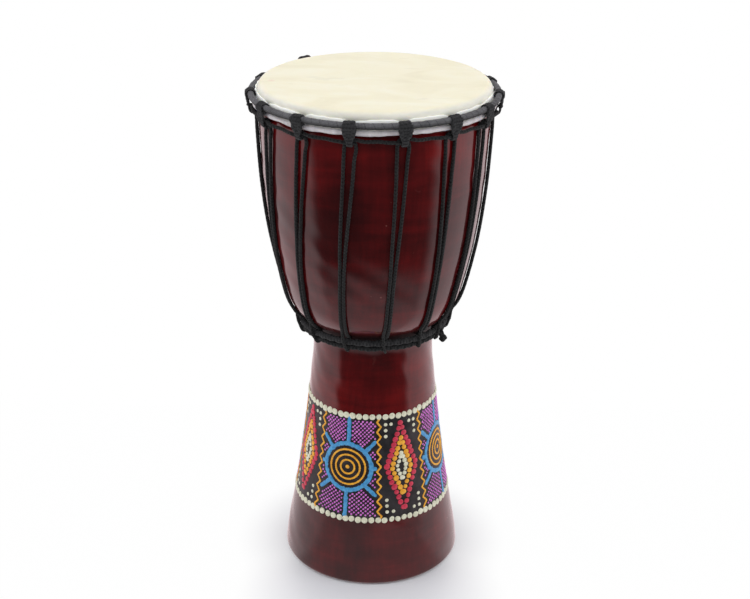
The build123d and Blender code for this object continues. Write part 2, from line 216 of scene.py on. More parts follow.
# ------------------------------------------------------------------ meshes
class Pieces:
    """Collects pieces of mesh (points in mm, faces, UV per corner) into one object."""

    def __init__(self):
        self.points, self.faces, self.uvs, self.count = [], [], [], 0

    def add(self, points, faces, uvs=None):
        self.points.append(np.asarray(points, float))
        self.faces += [tuple(i + self.count for i in face) for face in faces]
        if uvs is None:
            uvs = np.zeros((sum(len(face) for face in faces), 2))
        self.uvs.append(np.asarray(uvs, float))
        self.count += len(points)

    def build(self, name, material, slot):
        """A smooth-shaded object in the scene."""
        mesh = bpy.data.meshes.new(name)
        mesh.from_pydata((np.concatenate(self.points) * 0.001).tolist(), [], self.faces)
        layer = mesh.uv_layers.new(name="UVMap")
        layer.data.foreach_set("uv", np.concatenate(self.uvs).astype(np.float32).ravel())
        mesh.shade_smooth()
        mesh.update()
        built = bpy.data.objects.new(name, mesh)
        bpy.context.scene.collection.objects.link(built)
        mesh.materials.append(material)
        return built


def join_rings(rings, sides, along, flip=False):
    """Quads between rings of points, with (along, turn) UVs.

    along has a value for each ring, and one more if the last ring joins the first.
    """
    order = (0, 3, 2, 1) if flip else (0, 1, 2, 3)
    faces, uvs = [], []
    for i in range(len(along) - 1):
        near, far = i * sides, (i + 1) % rings * sides
        for j in range(sides):
            k = (j + 1) % sides
            face = (near + j, near + k, far + k, far + j)
            corners = [(along[i], j / sides), (along[i], (j + 1) / sides),
                       (along[i + 1], (j + 1) / sides), (along[i + 1], j / sides)]
            faces.append(tuple(face[c] for c in order))
            uvs += [corners[c] for c in order]
    return faces, uvs


def revolve(profile, segments, shape=None):
    """An open surface of revolution from (radius, z) points.

    shape(theta, radius, z) gives what is added to the radius and to z round one ring.
    """
    theta = np.arange(segments) * 2 * np.pi / segments
    rings = []
    for radius, z in profile:
        more_r, more_z = shape(theta, radius, z) if shape else (0.0, 0.0)
        radii = radius + more_r
        rings.append(np.stack([radii * np.sin(theta), -radii * np.cos(theta),
                               np.full(segments, z) + more_z], -1))
    faces, uvs = join_rings(len(profile), segments, range(len(profile)))
    return np.concatenate(rings), faces, [(turn, along) for along, turn in uvs]


def run_length(points):
    """Distance along a polyline at each of its points."""
    return np.r_[0, np.cumsum(np.linalg.norm(np.diff(points, axis=0), axis=1))]


def cord_mesh(centres, rings, closed=False):
    """A cord from a ring of points round each centre, capped if open; UVs (mm, turn)."""
    along = run_length(centres)
    if closed:
        along = np.r_[along, along[-1] + np.linalg.norm(centres[0] - centres[-1])]
    count, sides = len(rings), len(rings[0])
    faces, uvs = join_rings(count, sides, along)
    if not closed:
        faces.append(tuple(range(sides - 1, -1, -1)))
        faces.append(tuple((count - 1) * sides + j for j in range(sides)))
        uvs += [(0, 0)] * (2 * sides)
    return np.concatenate(rings), faces, uvs


def tube(rows, radius, sides, start_side=(0.13, 0.21, 0.97), closed=False, groove=0.0, twist=0.0):
    """A round cord. groove: depth of its two grooves, as a share of the radius; twist: turns
    of the grooves per mm."""
    centres = np.array([row[0] for row in rows])
    along = run_length(centres)
    radii = np.broadcast_to(radius, len(rows))
    angles = np.arange(sides) * 2 * np.pi / sides
    side = np.array(start_side)
    rings = []
    for (centre, forward), distance, radius_here in zip(rows, along, radii):
        forward = np.array(forward)
        side = unit(side - forward * side.dot(forward))
        lobes = 0.5 + 0.5 * np.cos(2 * (angles + 2 * np.pi * twist * distance))
        reach = radius_here * (1 - groove * lobes)
        rings.append(centre + np.outer(reach * np.cos(angles), side)
                     + np.outer(reach * np.sin(angles), np.cross(forward, side)))
    return cord_mesh(centres, rings, closed)


# ------------------------------------------------------------------ shader graphs
def srgb(*channels):
    """Linear colour from 0..255 channels."""
    def linear(value):
        value /= 255.0
        return value / 12.92 if value <= 0.04045 else ((value + 0.055) / 1.055) ** 2.4
    return (*map(linear, channels), 1.0)


def binary(operation):
    """The plain and the swapped operator method for a math node."""
    return (lambda self, other: self.graph.math(operation, self, other),
            lambda self, other: self.graph.math(operation, other, self))


class Value:
    """An output socket; arithmetic and comparison on it add math nodes."""

    __add__, __radd__ = binary("ADD")
    __sub__, __rsub__ = binary("SUBTRACT")
    __mul__, __rmul__ = binary("MULTIPLY")
    __truediv__, __rtruediv__ = binary("DIVIDE")
    __gt__ = binary("GREATER_THAN")[0]
    __lt__ = binary("LESS_THAN")[0]

    def __init__(self, graph, socket):
        self.graph = graph
        self.socket = socket

    def clamped(self):
        """Holds this math node's result to 0..1."""
        self.socket.node.use_clamp = True
        return self

    def other(self, output):
        """Another output of the same node."""
        return Value(self.graph, self.socket.node.outputs[output])


class Graph:
    """Builds a node tree from Values and plain numbers."""

    math_spare = {}   # set on the third input, which no operation here reads

    def __init__(self, tree):
        self.tree = tree
        tree.nodes.clear()

    def put(self, socket, value):
        if isinstance(value, Value):
            self.tree.links.new(value.socket, socket)
        else:
            socket.default_value = value

    def add(self, kind, output, inputs={}, **settings):
        """Adds a node, fills its inputs and returns one of its outputs."""
        node = self.tree.nodes.new(kind)
        for key, setting in settings.items():
            setattr(node, key, setting)
        for key, value in inputs.items():
            self.put(node.inputs[key], value)
        return Value(self, node.outputs[output])

    def math(self, operation, first, second=0.0):
        return self.add("ShaderNodeMath", 0, {0: first, 1: second, **self.math_spare},
                        operation=operation)

    def split(self, vector):
        first = self.add("ShaderNodeSeparateXYZ", 0, {0: vector})
        return first, first.other(1), first.other(2)

    def azimuth(self, x, y):
        """Radians from the front, the same to either side."""
        return self.math("ABSOLUTE", self.math("ARCTAN2", x, y * -1.0))

    def distance(self, x, y):
        return self.math("SQRT", x * x + y * y)

    def mix_shader(self, share, first, second):
        return self.add("ShaderNodeMixShader", 0, {0: share, 1: first, 2: second})


class Material(Graph):
    """A material with a Principled BSDF and Object and UV coordinates."""

    math_spare = {2: 0.0}

    def __init__(self, name):
        self.data = bpy.data.materials.new(name)
        self.data.use_nodes = True
        super().__init__(self.data.node_tree)
        self.surface = self.tree.nodes.new("ShaderNodeOutputMaterial").inputs[0]
        self.bsdf = self.add("ShaderNodeBsdfPrincipled", 0)
        self.put(self.surface, self.bsdf)
        self.object = self.add("ShaderNodeTexCoord", "Object")
        self.uv = self.object.other("UV")

    def set(self, **inputs):
        """Fills BSDF inputs, with underscores for the spaces in their names."""
        for key, value in inputs.items():
            self.put(self.bsdf.socket.node.inputs[key.replace("_", " ")], value)

    def scaled(self, vector, scale, location=(0, 0, 0)):
        return self.add("ShaderNodeMapping", 0,
                        {"Vector": vector, "Scale": scale, "Location": location})

    def stretched(self, axes, across, up):
        """Coordinates from (x, y, z) with x and y scaled by across, z by up."""
        x, y, z = axes
        return self.add("ShaderNodeCombineXYZ", 0, {0: x * across, 1: y * across, 2: z * up})

    def noise(self, vector, scale, detail=4.0, roughness=0.5, distortion=0.0):
        return self.add("ShaderNodeTexNoise", "Fac", {
            "Vector": vector, "Scale": scale, "Detail": detail, "Roughness": roughness,
            "Distortion": distortion})

    def cells(self, vector, scale):
        return self.add("ShaderNodeTexVoronoi", "Distance",
                        {"Vector": vector, "Scale": scale}, feature="F1")

    def ramp(self, value, *stops):
        """A colour ramp through (position, colour) stops."""
        ramped = self.add("ShaderNodeValToRGB", 0, {0: value})
        elements = ramped.socket.node.color_ramp.elements
        while len(elements) < len(stops):
            elements.new(0.5)
        for element, (position, colour) in zip(elements, stops):
            element.position = position
            element.color = colour
        return ramped

    def mix(self, share, first, second):
        return self.add("ShaderNodeMix", 2, {0: share, 6: first, 7: second},
                        data_type="RGBA", blend_type="MIX")

    def bump(self, height, strength, distance):
        return self.add("ShaderNodeBump", 0,
                        {"Strength": strength, "Distance": distance, "Height": height})

    def emission(self, colour, strength):
        return self.add("ShaderNodeEmission", 0, {"Color": colour, "Strength": strength})


def rise(value, start, span):
    """0 below start, climbing to 1 over span."""
    return ((value - start) / span).clamped()


def fall(value, end, span):
    """0 above end, climbing to 1 over span below it."""
    return ((end - value) / span).clamped()


def ease(value):
    return value * value * (3.0 - value * 2.0)


# ------------------------------------------------------------------ materials
def cord_material(name, dark, light, roughness, plaits_per_mm):
    """Braided cord: two families of plaits crossing."""
    mat = Material(name)
    along, turn, _ = mat.split(mat.uv)
    plaits_round = 2
    run = along * (plaits_per_mm * 2 * math.pi)
    wind = turn * (plaits_round * 2 * math.pi)
    plait = mat.math("MAXIMUM", mat.math("SINE", run + wind), mat.math("SINE", run - wind))
    fuzz = mat.noise(mat.object, scale=2600, detail=3, roughness=0.6)
    patch = mat.noise(mat.object, scale=120, detail=3, roughness=0.6)
    # weights of each pattern in the shade, then in the relief
    shade = (plait * 0.22 + fuzz * 0.6 + patch * 0.5).clamped()
    relief = plait * 0.7 + fuzz * 0.8
    mat.set(Base_Color=mat.ramp(shade, (0.15, dark), (0.95, light)), Roughness=roughness,
            Normal=mat.bump(relief, strength=0.9, distance=0.0003),
            Sheen_Weight=0.06, Sheen_Roughness=0.5, Specular_IOR_Level=0.18)
    return mat.data


def tape_material():
    """Woven tape wound round the ring, its UVs (mm along, turn round)."""
    mat = Material("woven_tape")
    along, turn, _ = mat.split(mat.uv)
    rib_pitch, wefts_round = 0.95, 15
    rib = mat.math("SINE", along * (2 * math.pi / rib_pitch))
    weft = mat.math("SINE", turn * (2 * math.pi * wefts_round) + along * 0.9)
    weave = (rib + 1.0) * (weft + 1.4)
    # a dark line at the edge of each turn of the tape
    edge = mat.math("FRACT", along * (1 / TAPE_PITCH) + turn) < 0.07
    patch = mat.noise(mat.object, scale=60, detail=4, roughness=0.6)
    fuzz = mat.noise(mat.object, scale=2500, detail=2, roughness=0.6)
    shade = (weave * 0.14 + patch * 0.7 + fuzz * 0.25 - edge * 0.3).clamped()
    # painted shade: the tape is darkened towards black underneath, so it reads lit on top and
    # shaded below
    face_up = mat.math("SINE", turn * (2 * math.pi))
    under = fall(face_up, end=0.42, span=0.95)
    tape_colour = mat.ramp(shade, (0.2, srgb(26, 26, 28)), (0.95, srgb(122, 122, 126)))
    mat.set(Base_Color=mat.mix(under * 0.82, tape_colour, srgb(14, 14, 15)), Roughness=0.75,
            Normal=mat.bump(weave + fuzz * 0.8, strength=0.55, distance=0.00025),
            Sheen_Weight=0.06, Specular_IOR_Level=0.25)
    return mat.data


def wood_material():
    """Red lacquer over brushed stain, with the dark ground of the painted band."""
    mat = Material("lacquered_wood")
    place = mat.object
    axes = x, y, z = mat.split(place)

    # stain: streaks run round the drum, grain runs up it
    wide = mat.stretched(axes, across=1.0, up=6.0)
    streak = mat.noise(wide, scale=16, detail=6, roughness=0.62, distortion=0.4)
    blotch = mat.noise(place, scale=15, detail=3, roughness=0.5, distortion=0.5)
    grain = mat.noise(mat.stretched(axes, across=9.0, up=0.8), scale=26, detail=5, roughness=0.6)
    tone = streak * 0.42 + blotch * 0.78 + grain * 0.25
    # clearer and redder round the waist, and a little towards the rim
    waist = fall(z, end=0.205, span=0.02) * rise(z, start=0.10, span=0.03)
    tone = tone + waist * 0.15 + rise(z, start=0.325, span=0.04) * 0.10
    wood = mat.ramp(tone * 0.72, (0.34, srgb(31, 3, 5)), (0.50, srgb(58, 4, 6)),
                    (0.62, srgb(82, 5, 8)), (0.80, srgb(116, 9, 10)))

    # faint hairlines, contour lines of a smooth field kept here and there, and pale specks
    field = mat.noise(mat.scaled(place, (1.0, 1.0, 0.45)), scale=38, detail=1, roughness=0.4)
    line = mat.math("ABSOLUTE", field - 0.52) < 0.0022
    scratch = line * (mat.noise(place, scale=75, detail=2, roughness=0.5) > 0.63)
    speck = ((mat.cells(place, scale=95) < 0.055)
             * (mat.noise(place, scale=30, detail=2, roughness=0.5) > 0.58))
    mark = mat.math("MAXIMUM", scratch * 0.035, speck * 0.3)
    wood = mat.mix(mark, wood, srgb(176, 120, 112))

    # the painted ground, between wavering edges and on the outside only
    waver = (mat.noise(place, scale=60, detail=2, roughness=0.5) - 0.5) * 0.0016
    edge_z = z + waver
    band = (edge_z > BAND_LOW * 0.001) * (edge_z < BAND_TOP * 0.001)
    cone_r, cone_taper = 0.0665, 0.112   # a cone within the thickness of the foot
    band = band * (x * x + y * y > mat.math("POWER", cone_r - z * cone_taper, 2.0))
    ground = mat.ramp(mat.noise(place, scale=130, detail=4, roughness=0.6),
                      (0.3, srgb(30, 28, 30)), (0.8, srgb(58, 55, 58)))
    colour = mat.mix(band, wood, ground)

    # painted shade about the lower ring: the wood is darkened there, and made rough and without
    # lacquer so it mirrors little
    ring_shade = rise(z, start=0.2015, span=0.004) * fall(z, end=0.2215, span=0.006)
    colour = mat.mix(ring_shade * 0.75, colour, srgb(20, 8, 8))
    rough = 0.3 + mat.noise(place, scale=55, detail=4, roughness=0.6) * 0.16
    rough = rough + ring_shade * 0.4 + band * 0.22
    coat = (1.0 - band * 0.55) * (1.0 - ring_shade * 0.9)
    relief = (mat.noise(wide, scale=30, detail=3, roughness=0.5) * 0.6
              + mat.noise(place, scale=300, detail=3, roughness=0.5) * 0.12
              - scratch * 0.25)
    mat.set(Base_Color=colour, Roughness=rough, Coat_Weight=coat, Coat_Roughness=0.09,
            Normal=mat.bump(relief, strength=0.2, distance=0.0005),
            Coat_IOR=1.5, Specular_IOR_Level=0.1)
    return mat.data


def bare_wood_material():
    """Turned bare wood: upright grain crossed by fine tool rings."""
    mat = Material("bare_wood_inside")
    axes = mat.split(mat.object)
    ring_pitch = 0.0042
    grain = mat.noise(mat.stretched(axes, across=8.0, up=1.0),
                      scale=24, detail=6, roughness=0.65, distortion=0.3)
    rings = mat.math("SINE", axes[2] * (2 * math.pi / ring_pitch))
    shade = grain * 0.9 + rings * 0.03
    mat.set(Base_Color=mat.ramp(shade, (0.3, srgb(112, 72, 44)), (0.75, srgb(182, 136, 92))),
            Roughness=0.8,
            Normal=mat.bump(grain + rings * 0.25, strength=0.5, distance=0.0005))
    return mat.data


def skin_fibre(mat):
    return mat.noise(mat.scaled(mat.object, (1.0, 7.0, 1.0)), scale=170, detail=3, roughness=0.6)


def finish_skin(mat, fibre, colour):
    """What both skin materials share: pores, softness and sheen."""
    pores = mat.cells(mat.object, scale=900)
    mat.set(Base_Color=colour, Roughness=0.58,
            Normal=mat.bump(fibre * 0.5 + pores * 0.25, strength=0.18, distance=0.0003),
            Subsurface_Weight=0.12, Subsurface_Radius=(0.003, 0.002, 0.001),
            Subsurface_Scale=0.5, Specular_IOR_Level=0.35)
    return mat.data


def skin_material():
    mat = Material("goatskin")
    place = mat.object
    x, y, z = mat.split(place)
    cloud = mat.noise(mat.scaled(place, (1.0, 1.9, 1.0)),
                      scale=17, detail=5, roughness=0.55, distortion=0.8)
    fibre = skin_fibre(mat)
    face = mat.ramp(cloud * 0.8 + fibre * 0.2,
                    (0.28, srgb(238, 231, 203)), (0.48, srgb(247, 241, 214)),
                    (0.66, srgb(251, 247, 226)), (0.8, srgb(243, 240, 222)))
    scar = mat.noise(mat.scaled(place, (1.0, 5.0, 1.0), (0.3, 0.1, 0)),
                     scale=30, detail=2, roughness=0.4, distortion=1.2) > 0.70
    face = mat.mix(scar * 0.25, face, srgb(219, 214, 190))
    # a faint pink spot of 3.5 mm radius near the left edge
    spot = (1.0 - mat.distance(x + 0.0765, y + 0.006) / 0.0035).clamped()
    face = mat.mix(spot * 0.5, face, srgb(240, 205, 190))
    # painted shade: greyer over the shoulder, from just under the flat of the head
    down = ((0.39982 - z) * 520.0).clamped()
    grey = mat.ramp(mat.noise(mat.scaled(place, (1, 1, 3)), scale=60, detail=4, roughness=0.6),
                    (0.3, srgb(228, 226, 215)), (0.75, srgb(247, 245, 233)))
    face = mat.mix(down, face, grey)
    # mauve-grey on the fold round the hoop
    low = ((0.3885 - z) * 1200.0).clamped()
    strip = mat.ramp(mat.noise(mat.scaled(place, (1, 1, 0.5)), scale=150, detail=4, roughness=0.6),
                     (0.3, srgb(176, 171, 175)), (0.75, srgb(222, 218, 221)))
    face = mat.mix(low, face, strip)
    # the flesh side, seen from below inside the bowl
    normal = mat.add("ShaderNodeNewGeometry", "Normal")
    flesh = (mat.split(normal)[2] < -0.5) * (mat.distance(x, y) < 0.0835)
    warm = mat.ramp(mat.noise(place, scale=45, detail=4, roughness=0.6),
                    (0.3, srgb(228, 206, 176)), (0.7, srgb(244, 230, 206)))
    return finish_skin(mat, fibre, mat.mix(flesh, face, warm))


def lip_material():
    """The trimmed edge of the skin, with painted light: a faint emission towards its top makes it
    glow, though it is no lamp.
    """
    mat = Material("goatskin_lip")
    pale = mat.ramp(mat.noise(mat.object, scale=90, detail=4, roughness=0.6),
                    (0.3, srgb(232, 236, 230)), (0.7, srgb(252, 253, 249)))
    # painted light: emission rising towards the top of the lip
    painted_glow = rise(mat.split(mat.object)[2], start=0.3922, span=0.0012)
    mat.set(Emission_Color=(1.0, 0.985, 0.95, 1), Emission_Strength=painted_glow * 0.25)
    return finish_skin(mat, skin_fibre(mat), pale)


def paint_material(colour, low, high):
    mat = Material("paint_" + colour)
    mottle = mat.noise(mat.object, scale=420, detail=3, roughness=0.6)
    grit = mat.noise(mat.object, scale=900, detail=3, roughness=0.55)
    mat.set(Base_Color=mat.ramp(mottle, (0.3, low), (0.72, high)), Roughness=0.42,
            Normal=mat.bump(grit, strength=0.3, distance=0.0002),
            Coat_Weight=0.25, Coat_Roughness=0.25)
    return mat.data


def steel_material():
    mat = Material("steel_rod")
    mottle = mat.noise(mat.object, scale=400, detail=4, roughness=0.6)
    mat.set(Base_Color=mat.ramp(mottle, (0.3, srgb(92, 92, 94)), (0.8, srgb(150, 148, 146))),
            Metallic=1.0, Roughness=0.3 + mottle * 0.2,
            Normal=mat.bump(mottle, strength=0.2, distance=0.0002))
    return mat.data


cord_mat = cord_material("black_cord", dark=srgb(9, 10, 11), light=srgb(44, 45, 46),
                         roughness=0.85, plaits_per_mm=0.36)
loop_mat = cord_material("black_loop_cord", dark=srgb(13, 14, 15), light=srgb(58, 58, 60),
                         roughness=0.9, plaits_per_mm=0.4)
tape_mat = tape_material()
wood_mat = wood_material()
bare_mat = bare_wood_material()
skin_mat = skin_material()
lip_mat = lip_material()
paint = {colour: paint_material(colour, srgb(*low), srgb(*high)) for colour, low, high in (
    ("cream", (205, 204, 178), (236, 235, 214)),
    ("blue", (40, 128, 190), (84, 170, 220)),
    ("pink", (192, 88, 194), (234, 138, 230)),
    ("yellow", (224, 150, 18), (250, 186, 48)),
    ("red", (184, 26, 58), (220, 52, 84)))}
steel_mat = steel_material()


# ------------------------------------------------------------------ shell
def build_shell():
    segments = 288
    toe_round = FOOT_OUTLINE[0][0]
    toe_r = FOOT_OUTLINE[0][1] - toe_round   # where the rounded bottom edge meets the floor
    rim_inner = (81.0, 399.3)
    carving = waves(9, 3, 17, seed=5)

    def carved(theta, radius, z):
        """Slight unevenness, deepest below the neck and none at the two edges."""
        depth = 0.12 if 150 < z < 200 else 0.0 if z < 12 or z > 392 else 0.10
        return depth * carving(theta + z * 0.02), 0.0

    outer = (arc(toe_r, toe_round, toe_round, -90, 0, 7)[:-1]
             + foot.sampled(2.5)[:-1] + bowl.sampled(2.0)
             + arc(RIM_R, RIM_Z, RIM_ROUND, 0, 90, 8)[1:] + [rim_inner])
    # the hollow runs down from the rim, through the throat and out under the foot
    inner = ([rim_inner] + Profile(BOWL_HOLLOW).sampled(5.0)[::-1] + [(30.0, 188.0)]
             + Profile(FOOT_HOLLOW).sampled(5.0)[::-1] + [(63.9, 0.0), (toe_r, 0.0)])
    pieces = Pieces()
    pieces.add(*revolve(outer, segments, carved))
    outside = pieces.build("shell_outside", wood_mat, "lacquered_wood")
    pieces = Pieces()
    pieces.add(*revolve(inner, segments))
    inside = pieces.build("shell_inside", bare_mat, "lacquered_wood")
    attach(outside, "drum")
    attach(inside, "drum")
    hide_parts("shell")


# ------------------------------------------------------------------ painting on the foot
FLAT_R = 56.6   # radius at which angles are laid out flat, for drawing the design
DAB_RINGS = [(1.0, 0.0), (0.9, 0.5), (0.62, 0.86)]   # shares of a dab's half-axes and height
PANEL_HALF = 25.5   # half the width of a dotted panel
dabs = {colour: Pieces() for colour in paint}


def flat(degrees, z):
    return np.array([math.radians(degrees) * FLAT_R, z])


def unflat(spot):
    return math.degrees(spot[0] / FLAT_R), spot[1]


def vary(size, amount):
    return size * (1 + amount * rng.normal())


def dab(colour, degrees, z, half_long, half_wide, height, turn=0.0, sides=12):
    """A raised dot of paint on the foot."""
    radius, slope = foot.measure(z)
    length = math.hypot(1.0, slope)
    outward = np.array(polar(1.0, 0.0, degrees))
    normal = (outward - UP * slope) / length
    around = np.array([-outward[1], outward[0], 0.0])
    climb = (outward * slope + UP) / length
    centre = outward * radius + UP * z - normal * 0.05
    cosine, sine = math.cos(turn), math.sin(turn)
    long_axis = around * cosine + climb * sine
    wide_axis = -around * sine + climb * cosine
    angles = np.arange(sides) * 2 * np.pi / sides
    rings = [centre + np.outer(np.cos(angles) * half_long * share, long_axis)
             + np.outer(np.sin(angles) * half_wide * share, wide_axis)
             + normal * height * lift for share, lift in DAB_RINGS]
    faces = join_rings(len(rings), sides, range(len(rings)))[0]
    last, tip = (len(rings) - 1) * sides, len(rings) * sides
    faces += [(last + j, last + (j + 1) % sides, tip) for j in range(sides)]
    dabs[colour].add(np.concatenate(rings + [[centre + normal * height]]), faces)


def walk(points, step):
    """Flat points about step apart along a polyline, with directions."""
    points = np.array(points, float)
    along = run_length(points)
    count = max(2, int(round(along[-1] / step)) + 1)
    stops = np.linspace(0, along[-1], count)
    spots = np.stack([np.interp(stops, along, points[:, axis]) for axis in (0, 1)], -1)
    steps = np.gradient(spots, axis=0)
    return spots, steps / np.linalg.norm(steps, axis=1)[:, None]


def stroke(colour, points, radius, step, height, wobble=0.12):
    """A line of close dabs, kept within the band."""
    spots, directions = walk(points, step)
    for spot, direction in zip(spots, directions):
        size = vary(radius, wobble * 0.6)
        degrees, z = unflat(spot + rng.normal(size=2) * radius * wobble * 0.5)
        if BAND_LOW + 0.6 < z < BAND_TOP - 0.6:
            dab(colour, degrees, z, size, vary(size, 0.08), vary(height, 0.08),
                math.atan2(direction[1], direction[0]), sides=10)
    return spots


def paint_wheel(base):
    """Rings, spokes and a zigzag at each side of a panel; returns the lines to keep clear of."""
    centre = flat(base, BAND_MID)
    wheel_r = 19.5
    turn = np.linspace(0, 2 * np.pi, 121)
    circle = np.stack([np.cos(turn), np.sin(turn)], -1)
    lines = [stroke("blue", centre + wheel_r * circle, radius=1.85, step=1.5, height=0.55)]
    for ring_r in (14.6, 10.2, 5.8):
        stroke("yellow", centre + ring_r * circle, radius=0.82, step=0.55, height=0.5, wobble=0.06)
    dab("yellow", base, BAND_MID, half_long=1.7, half_wide=1.7, height=0.6)
    for k in range(8):
        spoke = np.array([math.cos(k * math.pi / 4), math.sin(k * math.pi / 4)])
        reach = min((PANEL_HALF - 3.2) / max(1e-6, abs(spoke[0])),
                    BAND_HALF / max(1e-6, abs(spoke[1])))
        lines.append(stroke("blue", [centre + wheel_r * spoke, centre + reach * spoke],
                            radius=1.7, step=1.45, height=0.5))
    zigzag_pitch, zigzag_half = 8.4, 1.7
    z = np.arange(BAND_LOW, BAND_TOP, 0.5)
    zigzag = 2 * np.abs(2 * np.mod(z / zigzag_pitch, 1.0) - 1) - 1
    for side in (-1, 1):
        across = centre[0] + side * (PANEL_HALF + zigzag_half * zigzag)
        lines.append(stroke("yellow", np.stack([across, z], -1),
                            radius=0.78, step=0.55, height=0.5, wobble=0.06))
    return lines


def paint_dot_field(base, lines):
    """A diagonal grid of small pink dots between the lines of a panel."""
    pitch, clearance = 2.42, 2.6
    grid = np.arange(-30, 31) * pitch
    grid_x, grid_y = np.meshgrid(grid, grid)
    diagonal = math.sqrt(0.5)
    spots = np.stack([diagonal * (grid_x - grid_y).ravel(),
                      diagonal * (grid_x + grid_y).ravel()], -1)
    spots = spots[(np.abs(spots[:, 0]) < PANEL_HALF - 2.6)
                  & (np.abs(spots[:, 1]) < BAND_HALF - 3.6)
                  & (np.hypot(spots[:, 0], spots[:, 1]) > 21.0)] + flat(base, BAND_MID)
    drawn = np.concatenate(lines)
    gaps = np.linalg.norm(spots[:, None, :] - drawn[None, :, :], axis=2).min(1)
    for spot in spots[gaps > clearance]:
        degrees, z = unflat(spot + rng.normal(size=2) * 0.09)
        size = vary(0.86, 0.07)
        dab("pink", degrees, z, size * 1.08, size * 0.95, height=0.4, turn=math.pi / 4, sides=8)


def paint_diamonds(centre):
    """Nested diamonds of larger dots on the dark ground, with cream dots in the corners."""
    half_wide, half_tall = 13.0, 37.0
    diamond = [(0.0, half_tall), (half_wide, 0.0), (0.0, -half_tall), (-half_wide, 0.0),
               (0.0, half_tall)]
    for colour, radius, scale in (("red", 2.3, 1.0), ("yellow", 2.1, 0.65), ("cream", 1.85, 0.31)):
        corners = [centre + scale * np.array(corner) for corner in diamond]
        for spot in walk(corners, 2 * radius + 0.15)[0][:-1]:
            degrees, z = unflat(spot + rng.normal(size=2) * 0.15)
            size = vary(radius, 0.06)
            dab(colour, degrees, z, size, vary(size, 0.05), height=0.75,
                turn=rng.uniform(0, 3), sides=14)
    for side in (-1, 1):
        for end in (-1, 1):
            for across, up in ((13.2, 37.0), (13.2, 32.0), (13.2, 27.0), (8.4, 37.0)):
                degrees, z = unflat(centre + np.array([side * across, end * up]))
                dab("cream", degrees, z, half_long=1.5, half_wide=1.5, height=0.6,
                    turn=rng.uniform(0, 3))


def paint_edge(z, gap):
    """A row of large cream dots, about gap apart, all round an edge of the band."""
    count = round(2 * math.pi * foot.measure(z)[0] / gap)
    for k in range(count):
        degrees = 360.0 * k / count + rng.normal() * 0.22
        size = vary(2.62, 0.05)
        dab("cream", degrees, z + rng.normal() * 0.25, size, size * (0.98 + 0.05 * rng.normal()),
            height=0.85, turn=rng.uniform(0, 3), sides=16)


def build_painting():
    for quarter in range(4):
        base = -20.0 + 90.0 * quarter
        paint_dot_field(base, paint_wheel(base))
        paint_diamonds(flat(base + 45.0, BAND_MID))
    paint_edge(BAND_TOP, gap=5.25)
    paint_edge(BAND_LOW, gap=5.35)
    for colour, pieces in dabs.items():
        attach(pieces.build("painting_" + colour, paint[colour], "lacquered_wood"), "drum")


# ------------------------------------------------------------------ head skin
def build_membrane():
    """The skin over the rim and folded round the flesh hoop, and its flat underside."""
    pucker = waves(14, 40, 130, seed=21)
    ripple = waves(8, 8, 40, seed=22)
    sag = waves(6, 5, 19, seed=23)
    skin_round = RIM_ROUND + 0.7
    profile = [(radius, HEAD_Z) for radius in (0.0, 12, 26, 40, 54, 66, 74, 79)]
    profile += arc(RIM_R, RIM_Z, skin_round, 90, 0, 12)
    profile += [(RIM_R + skin_round, z) for z in (392.5, 390.5, 389.0, 387.6)]
    # round the flesh hoop, from its inner side under and out
    profile += arc(HOOP_R, HOOP_Z, 2.3, 182, 450, 22)

    def puckered(theta, radius, z):
        fold = clamp((388.6 - z) / 2.0) * (1.0 if radius > HOOP_R else 0.3)
        more_r = fold * (0.22 * pucker(theta) + 0.12 * ripple(theta))
        bottom = clamp((386.2 - z) / 2.2)
        more_z = bottom * (0.30 * ripple(theta) + 0.16 * pucker(theta) + 0.2 * sag(theta))
        if 392 < z < 399.8:
            more_r = more_r + 0.10 * sag(theta) + 0.05 * ripple(theta)
        return more_r, more_z

    pieces = Pieces()
    pieces.add(*revolve(profile, 360, puckered))
    pieces.add(*revolve([(radius, 399.4) for radius in (82, 78, 60, 30, 0.0)], 96))
    skin = pieces.build("skin_membrane", skin_mat, "goatskin")
    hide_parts("head_skin")
    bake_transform(skin)


def build_lip():
    """The trimmed edge of the skin standing inside the crown ring, dented by each hitch."""
    fine = waves(16, 12, 90, seed=31)
    broad = waves(6, 3, 14, seed=32)
    # (radius, z)
    profile = [
        (89.0, 388.8), (88.5, 389.6), (88.35, 391.0), (88.35, 392.6), (88.45, 393.8),
        (88.5, 394.6), (88.2, 394.75), (87.95, 394.5), (87.85, 393.4), (87.85, 391.5)]

    def ragged(theta, radius, z):
        height = clamp((z - 391.0) / 3.4)
        dent = np.zeros_like(theta)
        for degrees in HITCH_ANGLES:
            away = np.abs((theta - math.radians(degrees) + np.pi) % (2 * np.pi) - np.pi)
            dent = np.maximum(dent, np.clip(1.25 - away / 0.065, 0, 1))
        more_z = height * (0.28 * fine(theta) + 0.30 * broad(theta) + 0.1 - 1.5 * dent)
        more_r = height * (0.22 * broad(theta) + 0.14 * fine(theta) - 0.25 * dent) - 0.1 * dent
        return np.minimum(more_r, 0.35), more_z

    pieces = Pieces()
    pieces.add(*revolve(profile, 480, ragged))
    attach(pieces.build("skin_lip", lip_mat, "goatskin"), "head_rings")


